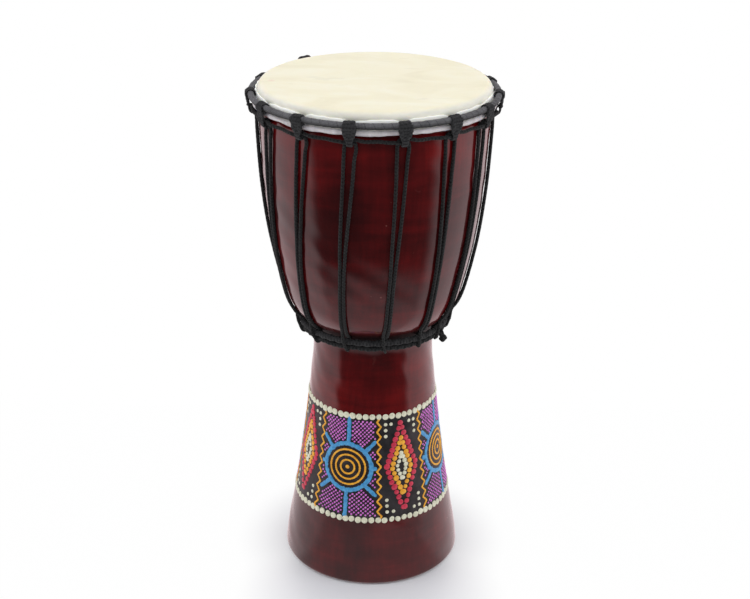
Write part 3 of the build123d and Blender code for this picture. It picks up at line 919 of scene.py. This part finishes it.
# ------------------------------------------------------------------ tape round the crown ring
def build_tape():
    """Tape wound in overlapping turns, each with a slight ridge at its edge."""
    steps, sides = 960, 28
    theta = np.arange(steps) * 2 * np.pi / steps
    turns = round(2 * math.pi * CROWN_R / TAPE_PITCH)
    lump = waves(12, 6, 60, seed=41)
    columns = []
    for j in range(sides):
        share = j / sides
        across_turn = np.mod(theta * turns / (2 * np.pi) + share, 1.0)
        ridge = 0.17 * (1 - across_turn) - 0.24
        section_r = TAPE_RAD + ridge + 0.05 * lump(theta)
        angle = 2 * np.pi * share
        radii = CROWN_R + section_r * math.cos(angle)
        columns.append(np.stack([radii * np.sin(theta), -radii * np.cos(theta),
                                 CROWN_Z + section_r * math.sin(angle)], -1))
    along = [k * turns * TAPE_PITCH / steps for k in range(steps + 1)]
    pieces = Pieces()
    pieces.add(np.stack(columns, axis=1).reshape(-1, 3),
               *join_rings(steps, sides, along, flip=True))
    tape = pieces.build("crown_tape", tape_mat, "woven_tape")
    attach(tape, "head_rings")
    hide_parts("crown_ring_wrap")


# ------------------------------------------------------------------ hitches
LOOSE_HITCH = 12   # index of the hitch whose turns stand off the ring
# (offset at the ring, offset at the eye, half width) of the legs gathering into the eye
HITCH_LEGS = [(-3.4, -1.15, 1.55), (-1.2, -0.45, 1.6), (1.1, 0.5, 1.6), (3.3, 1.2, 1.55)]


def ring_point(hitch, offset, degrees, section_r):
    """Degrees (0 outside, 90 on top) round the crown ring's section, offset mm along it."""
    angle = math.radians(degrees)
    return polar(CROWN_R + section_r * math.cos(angle), CROWN_Z + section_r * math.sin(angle),
                 hitch + math.degrees(offset / CROWN_R))


def beside(hitch, offset, radius, z):
    """A point offset mm round the drum from a hitch, measured at a radius of 92."""
    return polar(radius, z, hitch + math.degrees(offset / 92.0))


def strap(points, longest, section):
    """A flattened cord lying on the crown ring or hanging from it.

    section(point) gives its half thickness and its half width.
    """
    rows = smooth(points, turn=0.28, longest=longest)
    angles = np.arange(14) * 2 * np.pi / 14
    rings = []
    for point, forward in rows:
        thick, wide = section(point)
        outward = unit(point * (1.0, 1.0, 0.0))
        from_ring = unit(point - (outward * CROWN_R + UP * CROWN_Z))
        hanging = clamp((387.6 - point[2]) / 2.5)
        facing = from_ring * (1 - hanging) + outward * hanging
        facing = unit(facing - forward * facing.dot(forward))
        rings.append(point + np.outer(thick * np.cos(angles), facing)
                     + np.outer(wide * np.sin(angles), np.cross(forward, facing)))
    return cord_mesh(np.array([row[0] for row in rows]), rings)


def hitch_turns(hitch, index, jitter):
    """Turns of cord side by side round the ring."""
    turns, section_r = 3, 3.12
    loose = 3.6 if index == LOOSE_HITCH else 0.0
    points = [beside(hitch, -2.2 + jitter(.15), 94.1, 383.6), beside(hitch, -3.0, 94.9, 386.6)]
    for k in range(0, turns * 360 + 1, 30):
        offset = -3.7 + 7.4 * k / (turns * 360) + 0.35 * math.sin(math.radians(k) + 0.6)
        degrees = -42 + k
        top = max(0.0, math.sin(math.radians(degrees)))
        points.append(ring_point(hitch, offset + jitter(0.08), degrees,
                                 section_r - 0.16 * top + jitter(0.06) + loose * top
                                 + 0.12 * math.sin(k * 0.013 + index)))
    points += [beside(hitch, 3.1 + jitter(.1), 94.9, 386.4), beside(hitch, 2.2, 94.1, 383.4)]

    def section(point):
        """Thinner between the ring and the skin, and over the top."""
        inner = clamp((90.6 - math.hypot(point[0], point[1])) / 1.2)
        over = clamp((point[2] - CROWN_Z - 1.6) / 1.4)
        return (0.98 - max(0.34 * inner, 0.3 * over),
                1.72 + 0.1 * math.sin(point[2] * 2.1 + index))

    return strap(points, 1.2, section)


def hitch_leg(hitch, leg, jitter):
    """A leg from the ring down to the eye, in front of the fold of skin."""
    start, end, half_width = leg
    points = [
        ring_point(hitch, start + jitter(.1), 25, 3.5),
        ring_point(hitch, start + jitter(.1), -12, 3.55),
        ring_point(hitch, start * 0.95, -42, 3.6),
        beside(hitch, start * 0.72 + end * 0.28 + jitter(.08), 94.45, 385.9),
        beside(hitch, start * 0.36 + end * 0.64, 93.9, 382.6),
        beside(hitch, end + jitter(.08), 93.6, 380.0),
        beside(hitch, end, 92.9, 377.8),
        beside(hitch, end, 91.3, 376.65)]

    def section(point):
        down = clamp((386.5 - point[2]) / 7.0)
        return 0.95 - 0.1 * down, half_width - 0.45 * down

    return strap(points, 1.2, section)


def build_hitch(index, hitch):
    draw = np.random.default_rng(100 + index)

    def jitter(size):
        return draw.normal() * size

    pieces = Pieces()
    pieces.add(*hitch_turns(hitch, index, jitter))
    for leg in HITCH_LEGS:
        pieces.add(*hitch_leg(hitch, leg, jitter))
    # a turn across the legs, just above the lacing; columns: offset, radius, z
    across = [(-2.5, 92.6, 382.0), (-2.0, 94.2, 382.4), (0.1, 95.0, 382.9 + jitter(.2)),
              (2.0, 94.2, 383.2), (2.5, 92.6, 383.4)]
    pieces.add(*strap([beside(hitch, *place) for place in across], 0.8, lambda point: (0.7, 0.95)))
    # the back of the eye; columns: radius, z
    back = [(91.6, 376.3), (89.4, 376.4), (88.15, 378.0), (88.05, 380.0),
            (89.2, 382.4), (91.6, 383.1), (93.6, 382.8)]
    pieces.add(*strap([beside(hitch, 0.0, *place) for place in back], 0.8,
                      lambda point: (0.55, 2.0)))
    built = pieces.build(f"hitch_{index + 1:02d}", loop_mat, "loop_cord")
    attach(built, "head_rings")
    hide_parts(f"top_loop_{index + 1:02d}")


# ------------------------------------------------------------------ lacing
ROPE_LIFT = ROPE_RAD + 0.22   # rope centre above the bowl


def on_bowl(z, lift):
    """(radius, z) of the point lift mm off the bowl's surface at height z."""
    radius, slope = bowl.measure(z)
    length = math.hypot(1.0, slope)
    return radius + lift / length, z - lift * slope / length


NEAR_R = on_bowl(376.0, ROPE_LIFT)[0]      # rope lying on the bowl
OVER_R = NEAR_R + 2 * ROPE_RAD + 0.15      # rope crossing over that
SPREAD = 4.05                              # half the gap of a pair at the top
CLOSE = ROPE_RAD + 0.08                    # half the gap of a pair at the bottom
IN_Z, OUT_Z = LACING_Z + 1.2, LACING_Z - 1.2   # rope entering and leaving a hitch
PAIR_LOW_Z = 207.8                         # where a pair reaches its lower angle
CUT_HITCH = 5                              # the lacing starts and ends at this index
STRAND_Z = [
    368, 360, 352, 344, 336, 328, 320, 312, 304, 297, 290, 283, 277, 271, 265, 259, 254, 249,
    245, 241, 237, 233.5, 230.5, 227.5, 225]

# Paths of (radius, z, offset in mm, radius the offset is measured at)
PASS_IN = [   # through the eye and down
    (OVER_R + 0.1, LACING_Z + 0.5, 8.4, OVER_R), (OVER_R, IN_Z - 0.05, 5.6, OVER_R),
    (90.6, IN_Z + 0.05, 2.3, 90), (90.0, IN_Z + 0.05, -0.6, 90), (89.75, IN_Z - 0.2, -2.1, 89),
    (89.0, IN_Z - 1.6, -3.55, 89), (NEAR_R, IN_Z - 3.8, -SPREAD, NEAR_R)]
PASS_OUT = [   # up and out through the eye
    (NEAR_R, 373.4, SPREAD, NEAR_R), (89.0, 376.9, 3.7, 89), (89.8, OUT_Z - 0.1, 2.6, 90),
    (90.3, OUT_Z, 0.6, 90), (91.1, OUT_Z, -2.4, 90), (91.7, OUT_Z + 0.1, -4.6, OVER_R),
    (OVER_R + 0.45, OUT_Z + 0.7, -7.0, OVER_R), (OVER_R, LACING_Z - 0.5, -10.0, OVER_R)]
WRAP_FRONT = [   # down outside the lower ring and the lashing
    (62.6, 218.6, -CLOSE, 60), (61.9, 214.6, -0.9 * CLOSE, 60),
    (LOW_RING_R + LOW_RING_RAD + 0.95, LOW_RING_Z + 0.3, -0.8 * CLOSE, 60),
    (LOW_RING_R + 2.35, LOW_RING_Z - 3.0, -0.3 * CLOSE, 60),
    (LASH_R + LASH_RAD + 0.55, LASH_Z - 1.1, 0.2 * CLOSE, 60),
    (LASH_R + 0.3, LASH_Z - LASH_RAD - 0.8, 0.6 * CLOSE, 60)]
WRAP_BACK = [   # and up inside them
    (LASH_R - 2.2, LASH_Z - 1.6, 0.6 * CLOSE, 55), (LASH_R - 3.4, LASH_Z + 1.4, 0.9 * CLOSE, 55),
    (53.6, 209.3, CLOSE, 55), (55.0, 212.0, CLOSE, 55), (58.2, 214.6, 0.9 * CLOSE, 55),
    (61.6, 217.6, CLOSE, 55)]


def placed(path, degrees):
    return [polar(radius, z, degrees + math.degrees(offset / offset_r))
            for radius, z, offset, offset_r in path]


def strand(index, side, sway, heights):
    """One strand of a pair down the bowl; side is -1 or 1, sway two sizes and a phase."""
    top, low = HITCH_ANGLES[index], PAIR_ANGLES[index]
    points = []
    for z in heights:
        radius, rope_z = on_bowl(z, ROPE_LIFT)
        share = (z - PAIR_LOW_Z) / (LACING_Z - PAIR_LOW_Z)
        middle = (low + (top - low) * share + sway[0] * math.sin(math.pi * share)
                  + sway[1] * math.sin(2 * math.pi * share))
        offset = CLOSE + (SPREAD - CLOSE) * clamp((z - 272.0) / (372.0 - 272.0))
        if 285 < z < 360:
            offset += 0.25 * math.sin(5.5 * (372 - z) / 150.0 + sway[2] + side)
        points.append(polar(radius, rope_z, middle + side * math.degrees(offset / radius)))
    return points


def mid_span(index):
    """Point and direction of the rope midway between a hitch and the next."""
    following = HITCH_ANGLES[(index + 1) % HITCH_COUNT] + (360 if index == HITCH_COUNT - 1 else 0)
    middle = (HITCH_ANGLES[index] + following) / 2
    angle = math.radians(middle)
    return polar(90.2, LACING_Z, middle), (-math.cos(angle), -math.sin(angle), 0)


def lacing_rows():
    rope = []
    for step in range(HITCH_COUNT + 1):
        index = (CUT_HITCH - step) % HITCH_COUNT
        draw = np.random.default_rng(300 + index)
        sway = (draw.normal() * 0.35, draw.normal() * 0.2, draw.uniform(0, 6))
        top, low = HITCH_ANGLES[index], PAIR_ANGLES[index]
        start, start_dir = mid_span(index)
        end, end_dir = mid_span((index - 1) % HITCH_COUNT)
        down = placed(PASS_IN, top) + strand(index, -1, sway, STRAND_Z) + placed(WRAP_FRONT, low)
        rising = placed(WRAP_BACK, low)
        rising += strand(index, 1, sway, (STRAND_Z + [220.5])[::-1]) + placed(PASS_OUT, top)
        if step == 0:
            points, start_dir = rising[1:] + [end], None
        elif step == HITCH_COUNT:
            points, end_dir = [start] + down, None
        else:
            points = [start] + down + rising + [end]
        rows = smooth(points, start_dir, end_dir, turn=0.2, longest=2.6)
        rope += rows[1:] if rope else rows
    return rope


def rope_radius(point):
    """The rope is squeezed thin where it passes the lower ring."""
    if point[2] < 213.2 and math.hypot(point[0], point[1]) < 55.6:
        return 0.98
    return 1.2 if point[2] < 213.5 else ROPE_RAD


def build_lacing():
    rows = lacing_rows()
    radii = [rope_radius(point) for point, _ in rows]
    radii = np.convolve(np.r_[[ROPE_RAD] * 2, radii, [ROPE_RAD] * 2], np.ones(5) / 5, "valid")
    pieces = Pieces()
    pieces.add(*tube(rows, radii, 14, groove=0.09, twist=1 / 8.0))
    lacing = pieces.build("lacing", cord_mat, "lacing_cord")
    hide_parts("lacing_rope")
    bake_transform(lacing)


# ------------------------------------------------------------------ lower ring, lashing, tail
TAIL_ANGLE, TAIL_HALF = 64.0, 3.4   # degrees: where the tail leaves, and half the gap there
TAIL_Z = 203.8
KNOT_R, KNOT_Z = 61.2, 200.4


def ring_rows(radius, z, angles, waver_r, waver_z):
    rows = []
    for degrees in angles:
        angle = math.radians(degrees)
        rows.append((polar(radius + waver_r(angle)[0] * 0.10, z + waver_z(angle)[0] * 0.2, degrees),
                     (math.cos(angle), math.sin(angle), 0.0)))
    return rows


def build_lower_ring():
    twist_r, twist_pitch = 57.5, 15.0   # a whole number of twists at this radius
    length = 2 * math.pi * twist_r
    rows = ring_rows(LOW_RING_R, LOW_RING_Z, np.linspace(0.0, 360.0, 480, endpoint=False),
                     waves(5, 4, 20, seed=51), waves(5, 4, 20, seed=52))
    pieces = Pieces()
    pieces.add(*tube(rows, LOW_RING_RAD, 20, closed=True, start_side=(0.0, 0.0, 1.0),
                     groove=0.24, twist=round(length / twist_pitch) / length))
    ring = pieces.build("lower_ring", loop_mat, "ring_rope")
    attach(ring, "drum")
    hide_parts("bottom_ring")


def build_lashing():
    """A cord round the drum under the ring, open where the tail leaves."""
    gap = TAIL_HALF + 0.15
    angles = np.linspace(TAIL_ANGLE + gap, TAIL_ANGLE + 360 - gap, 480)
    rows = ring_rows(LASH_R, LASH_Z, angles,
                     waves(6, 8, 30, seed=53), waves(6, 8, 30, seed=54))
    pieces = Pieces()
    pieces.add(*tube(rows, LASH_RAD, 16, start_side=(0.0, 0.0, 1.0), groove=0.22, twist=1 / 11.0))
    lashing = pieces.build("lashing", cord_mat, "loop_cord")
    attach(lashing, "drum")
    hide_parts("bottom_lashing")


def build_tail():
    """The two ends of the lashing, brought together in a knot."""
    outward = np.array(polar(1.0, 0.0, TAIL_ANGLE))
    around = np.array([-outward[1], outward[0], 0.0])

    def tail_point(offset, radius, z):
        return outward * radius + around * offset + UP * z

    pieces = Pieces()
    half = LASH_R * math.sin(math.radians(TAIL_HALF))
    for side in (-1, 1):
        points = [tail_point(side * half, LASH_R + 0.4, TAIL_Z + 1.6),
                  tail_point(side * half * 0.6, LASH_R + 2.3, TAIL_Z + 1.2),
                  tail_point(side * half * 0.4, LASH_R + 3.6, TAIL_Z - 1.0),
                  tail_point(side * 0.3, KNOT_R, KNOT_Z)]
        rows = smooth(points, -side * around, outward - UP * 0.7, turn=0.2, longest=0.6)
        pieces.add(*tube(rows, 1.5, 12))

    # the knot: a trefoil of cord wound on a small ball, its axis outward and down
    centre = tail_point(0, KNOT_R, KNOT_Z)
    axis = unit(outward * 0.78 - UP * 0.62)
    basis = np.array([around, np.cross(axis, around), axis])
    points = []
    for k in range(41):
        turn = k / 40 * 2 * math.pi
        lobe = np.array([math.sin(turn) + 1.15 * math.sin(2 * turn),
                         math.cos(turn) - 1.15 * math.cos(2 * turn),
                         -0.9 * math.sin(3 * turn)])
        points.append(centre + (unit(lobe) * (1.95 + 0.25 * math.sin(3 * turn))) @ basis)
    seam = points[1] - points[-2]
    pieces.add(*tube(smooth(points, seam, seam, turn=0.2, longest=0.5), 1.35, 12))

    # a ball that fills it
    sides, bands = 16, 10
    ball = []
    for i in range(1, bands):
        for j in range(sides):
            polar_angle, turn = math.pi * i / bands, 2 * math.pi * j / sides
            ball.append(centre + 2.2 * np.array([math.sin(polar_angle) * math.cos(turn),
                                                 math.sin(polar_angle) * math.sin(turn),
                                                 math.cos(polar_angle)]) @ basis)
    pieces.add(ball, join_rings(bands - 1, sides, range(bands - 1))[0])
    tail = pieces.build("tail_knot_cord", cord_mat, "loop_cord")
    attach(tail, "tail")
    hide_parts("tail_knot")


# ------------------------------------------------------------------ floor, light, camera
def floor_material():
    """A pale floor that fades to white, and that the lacquer mirrors as a lit sheet."""
    mat = Material("floor")
    x, y, _ = mat.split(mat.object)
    tint = mat.ramp(mat.noise(mat.object, scale=3, detail=2, roughness=0.5),
                    (0.3, srgb(236, 237, 243)), (0.7, srgb(240, 241, 246)))
    grit = mat.noise(mat.object, scale=400, detail=2, roughness=0.5)
    mat.set(Base_Color=tint, Roughness=0.3, Specular_IOR_Level=0.4,
            Normal=mat.bump(grit, strength=0.02, distance=0.0002))

    # fade to white away from the foot, sooner to the sides, and fully behind
    reach = mat.distance(x, y)
    off_front = mat.azimuth(x, y)
    aside = ease(rise(off_front, start=0.35, span=0.9))
    far = rise(reach, start=0.066 - aside * 0.026, span=0.125 - aside * 0.05)
    back = ((y + 0.10) / 0.35).clamped()
    fade = ease(mat.math("MAXIMUM", far * 0.94, back))
    white = mat.emission((1, 1, 1, 1), 1.0)
    seen = mat.mix_shader(fade, mat.bsdf, white)

    # mirrored: a pale sheet that ends a little in front of the drum, the dark room beyond it
    ahead = ease(((1.20 - off_front - (x > 0.0) * 0.02) / 0.24).clamped())
    beyond = ease(rise(reach, start=0.25, span=0.20))
    sheet = 0.95 - ahead * 0.33
    mirrored = mat.emission((1.0, 0.83, 0.85, 1), sheet * (1.0 - ahead * beyond * 0.97))
    glossy = mat.add("ShaderNodeLightPath", "Is Glossy Ray")
    top = mat.mix_shader(glossy, seen, mirrored)

    # clear from below
    below = mat.add("ShaderNodeNewGeometry", "Backfacing")
    clear = mat.add("ShaderNodeBsdfTransparent", 0)
    mat.put(mat.surface, mat.mix_shader(below, top, clear))
    return mat.data


def build_floor():
    material = floor_material()
    mesh = bpy.data.meshes.new("floor")
    mesh.from_pydata([(-6, -6, 0), (6, -6, 0), (6, 6, 0), (-6, 6, 0)], [], [(0, 1, 2, 3)])
    floor = bpy.data.objects.new("floor", mesh)
    floor.location.z = -0.0002
    bpy.context.scene.collection.objects.link(floor)
    mesh.materials.append(material)


def add_softbox(name, place, aim, width, height, power):
    """An area light that gives no highlights and is not mirrored."""
    light = bpy.data.lights.new(name, "AREA")
    light.shape = "RECTANGLE"
    light.size = width
    light.size_y = height
    light.energy = power
    light.specular_factor = 0.0
    softbox = bpy.data.objects.new(name, light)
    softbox.location = place
    direction = Vector(aim) - Vector(place)
    softbox.rotation_euler = direction.to_track_quat("-Z", "Y").to_euler()
    bpy.context.scene.collection.objects.link(softbox)
    softbox.visible_glossy = False


def build_world():
    """White to the camera, a soft fill for the light, and a lit room for mirror rays."""
    world = bpy.data.worlds.new("studio")
    bpy.context.scene.world = world
    world.use_nodes = True
    sky = Graph(world.node_tree)

    def background(colour, strength):
        return sky.add("ShaderNodeBackground", 0, {"Color": colour, "Strength": strength})

    x, y, z = sky.split(sky.add("ShaderNodeTexCoord", "Generated"))
    # the room is bright to the sides and overhead, dimmer behind, nearly dark in front
    sides = ease(rise(sky.azimuth(x, y), start=0.97, span=0.24))
    overhead = ease(rise(z, start=0.55, span=0.25))
    behind = ease(((y + 0.1) / 0.5).clamped())
    level = 0.045 + sky.math("MAXIMUM", sides, overhead) * 0.95 + behind * 0.25
    seen = background((1, 1, 1, 1), 1.0)
    fill = background((0.96, 0.97, 1.0, 1), 0.34)
    room = background((1.0, 0.86, 0.875, 1), level)
    glossy = sky.add("ShaderNodeLightPath", "Is Glossy Ray")
    lit = sky.mix_shader(glossy, fill, room)
    output = sky.tree.nodes.new("ShaderNodeOutputWorld")
    sky.put(output.inputs[0], sky.mix_shader(glossy.other("Is Camera Ray"), lit, seen))


def add_camera():
    """In front of the drum and above it, looking down."""
    place = (0, -1.0309, 0.6772)
    down, roll = 23.87, 0.46   # degrees
    lens = bpy.data.cameras.new("camera")
    lens.sensor_width = 36.0
    lens.lens = 68.1648
    lens.shift_x = 0.00244
    lens.clip_start = 0.01
    camera = bpy.data.objects.new("camera", lens)
    camera.matrix_world = (Matrix.Translation(place)
                           @ Matrix.Rotation(math.radians(90 - down), 4, "X")
                           @ Matrix.Rotation(math.radians(roll), 4, "Z"))
    bpy.context.scene.collection.objects.link(camera)
    bpy.context.scene.camera = camera
    bpy.context.scene.view_settings.view_transform = "Standard"


# ------------------------------------------------------------------ build
for node_name in ("flesh_hoop", "crown_ring"):
    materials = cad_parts[node_name].data.materials
    materials.clear()
    materials.append(steel_mat)

build_shell()
build_painting()
build_membrane()
build_lip()
build_tape()
for hitch_index, hitch_angle in enumerate(HITCH_ANGLES):
    build_hitch(hitch_index, hitch_angle)
build_lacing()
build_lower_ring()
build_lashing()
build_tail()

build_floor()
add_softbox("top_softbox", place=(0.0, 0.15, 1.7), aim=(0, 0, 0.3),
            width=1.8, height=1.6, power=11.4)
add_softbox("left_softbox", place=(-1.35, -0.35, 0.75), aim=(0, 0, 0.25),
            width=0.8, height=1.5, power=6.6)
add_softbox("right_softbox", place=(1.35, -0.35, 0.75), aim=(0, 0, 0.25),
            width=0.8, height=1.5, power=6.6)
add_softbox("front_fill", place=(0.1, -1.6, 1.5), aim=(0, 0, 0.2),
            width=0.9, height=0.6, power=4.0)
build_world()
add_camera()
